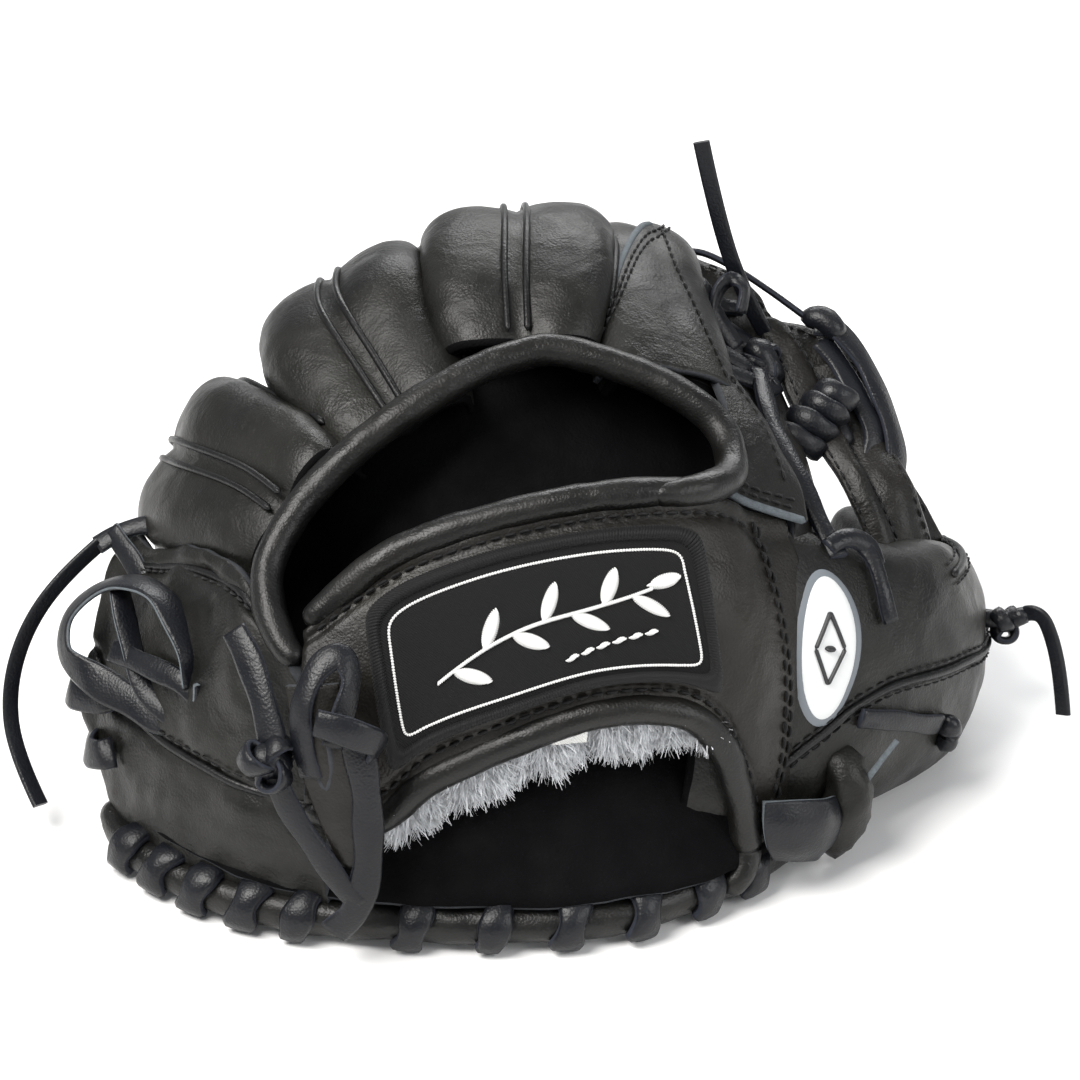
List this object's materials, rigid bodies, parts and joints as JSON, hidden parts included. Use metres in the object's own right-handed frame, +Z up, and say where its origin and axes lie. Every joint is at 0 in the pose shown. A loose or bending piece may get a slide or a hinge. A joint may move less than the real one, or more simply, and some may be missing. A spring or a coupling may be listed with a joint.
{
  "type": "baseball glove",
  "caption": "Black leather left-hand infield glove with padded finger stalls, laced web, wrist strap with fleece lining and loose lace ends.",
  "frame": {"origin": "on the resting surface, under the centre of the bounding box of everything but the loose lace ends", "axes": "+X from the little finger to the thumb, +Y from the wrist to the fingertips, +Z up with the pocket facing down"},
  "size_m": [0.3142, 0.2283, 0.1714],
  "materials": {
    "shell_leather": "black full-grain cowhide, oiled, fine grain",
    "strap_leather": "black leather folded over foam",
    "binding_leather": "rolled black leather",
    "web_leather": "two-ply black leather with raw edges",
    "welt_leather": "thin black piping",
    "lace_leather": "blue-black rawhide with grey raw edges",
    "lining_leather": "soft dark grey leather",
    "pad_felt": "grey wool felt",
    "fleece": "grey-white pile",
    "patch_twill": "black twill",
    "patch_edge": "black overlocked thread",
    "patch_thread": "white satin stitch",
    "badge_rubber": "moulded white badge with a grey rim",
    "badge_print": "black raised motif",
    "tag_fabric": "woven tag"
  },
  "bodies": {
    "palm": {"ring_stall": "shell_leather", "middle_stall": "shell_leather", "index_stall": "shell_leather", "ring_lining": "lining_leather", "middle_lining": "lining_leather", "index_lining": "lining_leather", "ring_welts": "welt_leather", "middle_welts": "welt_leather", "index_welts": "welt_leather", "index_overlay": "shell_leather", "index_back_panel": "shell_leather", "palm_shell": "shell_leather", "palm_lining": "lining_leather", "palm_pad": "pad_felt", "thumb_heel_pad": "pad_felt", "wrist_strap": "strap_leather", "strap_fleece": "fleece", "strap_top_binding": "binding_leather", "strap_bottom_binding": "binding_leather", "hole_binding": "binding_leather", "heel_roll": "binding_leather", "heel_lace": "lace_leather", "patch_base": "patch_twill", "patch_border": "patch_edge", "patch_emblem": "patch_thread", "size_tag": "tag_fabric", "web_post": "web_leather", "web_crossbar": "web_leather", "web_side_panel": "web_leather", "web_lacing": "lace_leather", "web_spiral_lace": "lace_leather", "web_knot": "lace_leather", "fingertip_lace": "lace_leather", "strap_lace": "lace_leather", "strap_tab": "strap_leather", "strap_knot": "lace_leather", "top_tail": "lace_leather"},
    "thumb": {"thumb_stall": "shell_leather", "thumb_lining": "lining_leather", "thumb_loop": "lining_leather", "oval_patch": "badge_rubber", "oval_emblem": "badge_print", "thumb_lace_loop": "lace_leather", "thumb_side_lace": "lace_leather", "thumb_knot": "lace_leather", "right_tail": "lace_leather"},
    "pinky": {"pinky_stall": "shell_leather", "pinky_lining": "lining_leather", "pinky_welts": "welt_leather", "pinky_loop": "lining_leather", "pinky_palm_shell": "shell_leather", "pinky_palm_lining": "lining_leather", "pinky_heel_pad": "pad_felt", "pinky_side_panel": "shell_leather", "pinky_hole_binding": "binding_leather", "pinky_heel_roll": "binding_leather", "pinky_heel_lace": "lace_leather", "pinky_edge_lace": "lace_leather", "pinky_edge_loops": "lace_leather", "left_tail": "lace_leather"}
  },
  "joints": [
    {"name": "thumb_close", "type": "hinge", "parent": "palm", "child": "thumb", "pos_m": [0.0586, -0.0622, 0.006], "axis": [0.1531, 0.6123, 0.7756], "range_deg": [-5, 25], "deforming": ["web_post", "web_crossbar", "web_side_panel", "web_lacing", "web_spiral_lace", "web_knot"]},
    {"name": "pinky_close", "type": "hinge", "parent": "palm", "child": "pinky", "pos_m": [-0.0664, -0.0872, 0.004], "axis": [0.0991, -0.9912, -0.0881], "range_deg": [0, 12]}
  ]
}
